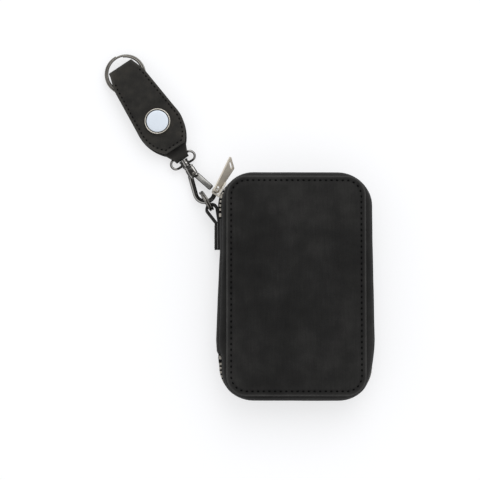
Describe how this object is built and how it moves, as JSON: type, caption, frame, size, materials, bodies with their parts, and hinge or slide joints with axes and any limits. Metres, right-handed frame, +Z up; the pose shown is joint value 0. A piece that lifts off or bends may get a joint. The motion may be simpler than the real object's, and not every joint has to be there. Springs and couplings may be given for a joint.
{
  "type": "key case with snap fob",
  "caption": "Zip-round leather key case with key hooks and card pockets inside, and a leather snap fob with a split ring on a swivel snap hook.",
  "frame": {"origin": "middle of the back cover's outer face, on which the case lies", "axes": "+Z up through the case to the front cover, +Y along the case toward the end with the fob, -X toward the spine"},
  "size_m": [0.1345, 0.1754, 0.022],
  "materials": {
    "leather": "matte nubuck",
    "fob_leather": "matte nubuck",
    "board": "plain fibre board",
    "lining": "twill",
    "zip_tape": "woven tape",
    "zip_metal": "nickel plated",
    "nickel": "polished nickel",
    "gunmetal": "dark nickel plate",
    "steel": "nickel plated spring steel"
  },
  "bodies": {
    "back_half": {"back_cover": "leather", "back_board": "board", "back_lining": "lining", "back_gusset": "leather", "back_zip_tape": "zip_tape", "back_zip_teeth": "zip_metal", "back_zip_stops": "zip_metal", "key_rail": "nickel", "key_rail_rivets": "nickel", "spine_strip": "leather", "loop_tab": "fob_leather"},
    "front_half": {"front_cover": "leather", "front_board": "board", "front_lining": "lining", "front_gusset": "leather", "front_zip_tape": "zip_tape", "front_zip_teeth": "zip_metal", "front_zip_stops": "zip_metal", "card_pocket_1": "leather", "card_pocket_2": "leather", "card_pocket_3": "leather"},
    "slider": {"slider_body": "zip_metal", "slider_bridge": "zip_metal"},
    "pull": {"pull_tag": "zip_metal"},
    "small_ring": {"loop_ring": "steel"},
    "snap_hook": {"hook_frame": "gunmetal", "gate_pin": "steel"},
    "gate": {"hook_gate": "gunmetal"},
    "swivel": {"swivel_eye": "gunmetal", "swivel_post": "steel"},
    "fob": {"fob_strap": "fob_leather", "fob_fold": "fob_leather", "snap_stud": "nickel", "snap_back": "nickel"},
    "flap": {"fob_flap": "fob_leather", "snap_cap": "nickel", "snap_socket": "nickel"},
    "big_ring": {"key_ring": "steel"},
    "key_hook_1": {"key_hook_1": "nickel"},
    "key_hook_2": {"key_hook_2": "nickel"},
    "key_hook_3": {"key_hook_3": "nickel"},
    "key_hook_4": {"key_hook_4": "nickel"},
    "key_hook_5": {"key_hook_5": "nickel"},
    "key_hook_6": {"key_hook_6": "nickel"}
  },
  "joints": [
    {"name": "front_open", "type": "hinge", "parent": "back_half", "child": "front_half", "pos_m": [-0.03975, 0, 0.011], "axis": [0, -1, 0], "range_deg": [0, 105], "deforming": ["spine_strip"]},
    {"name": "zip_travel", "type": "hinge", "parent": "back_half", "child": "slider", "pos_m": [-0.021, 0.03975, 0.011], "axis": [0, 0, -1], "range_deg": [0, 45]},
    {"name": "pull_swing", "type": "hinge", "parent": "slider", "child": "pull", "pos_m": [-0.03982, 0.04778, 0.011], "axis": [0, 0, 1], "range_deg": [0, 70]},
    {"name": "ring_swing", "type": "hinge", "parent": "back_half", "child": "small_ring", "pos_m": [-0.04185, 0.0389, 0.00585], "axis": [0, 0, -1], "range_deg": [-35, 8]},
    {"name": "hook_swing", "type": "hinge", "parent": "small_ring", "child": "snap_hook", "pos_m": [-0.04458, 0.04327, 0.00585], "axis": [0, 0, -1], "range_deg": [-20, 5]},
    {"name": "gate_open", "type": "hinge", "parent": "snap_hook", "child": "gate", "pos_m": [-0.05115, 0.0574, 0.0028], "axis": [0, 0, -1], "range_deg": [0, 12], "stiffness_Nm_per_rad": 0.02, "springref_deg": -5.73},
    {"name": "swivel_turn", "type": "hinge", "parent": "snap_hook", "child": "swivel", "pos_m": [-0.05785, 0.06642, 0.0028], "axis": [0.5299, -0.848, 0], "continuous": true},
    {"name": "fob_lift", "type": "hinge", "parent": "swivel", "child": "fob", "pos_m": [-0.05785, 0.06642, 0.00295], "axis": [0.848, 0.5299, 0], "range_deg": [0, 60]},
    {"name": "flap_open", "type": "hinge", "parent": "fob", "child": "flap", "pos_m": [-0.08614, 0.10837, 0.004], "axis": [-0.829, -0.5592, 0], "range_deg": [0, 105], "deforming": ["fob_fold"]},
    {"name": "key_ring_turn", "type": "hinge", "parent": "fob", "child": "big_ring", "pos_m": [-0.08581, 0.10788, 0.004], "axis": [0, 0, 1], "continuous": true},
    {"name": "key_hook_1_lift", "type": "hinge", "parent": "back_half", "child": "key_hook_1", "pos_m": [-0.022, 0.037, 0.0065], "axis": [-1, 0, 0], "range_deg": [0, 35]},
    {"name": "key_hook_2_lift", "type": "hinge", "parent": "back_half", "child": "key_hook_2", "pos_m": [-0.0132, 0.037, 0.0065], "axis": [-1, 0, 0], "range_deg": [0, 35]},
    {"name": "key_hook_3_lift", "type": "hinge", "parent": "back_half", "child": "key_hook_3", "pos_m": [-0.0044, 0.037, 0.0065], "axis": [-1, 0, 0], "range_deg": [0, 35]},
    {"name": "key_hook_4_lift", "type": "hinge", "parent": "back_half", "child": "key_hook_4", "pos_m": [0.0044, 0.037, 0.0065], "axis": [-1, 0, 0], "range_deg": [0, 35]},
    {"name": "key_hook_5_lift", "type": "hinge", "parent": "back_half", "child": "key_hook_5", "pos_m": [0.0132, 0.037, 0.0065], "axis": [-1, 0, 0], "range_deg": [0, 35]},
    {"name": "key_hook_6_lift", "type": "hinge", "parent": "back_half", "child": "key_hook_6", "pos_m": [0.022, 0.037, 0.0065], "axis": [-1, 0, 0], "range_deg": [0, 35]}
  ]
}
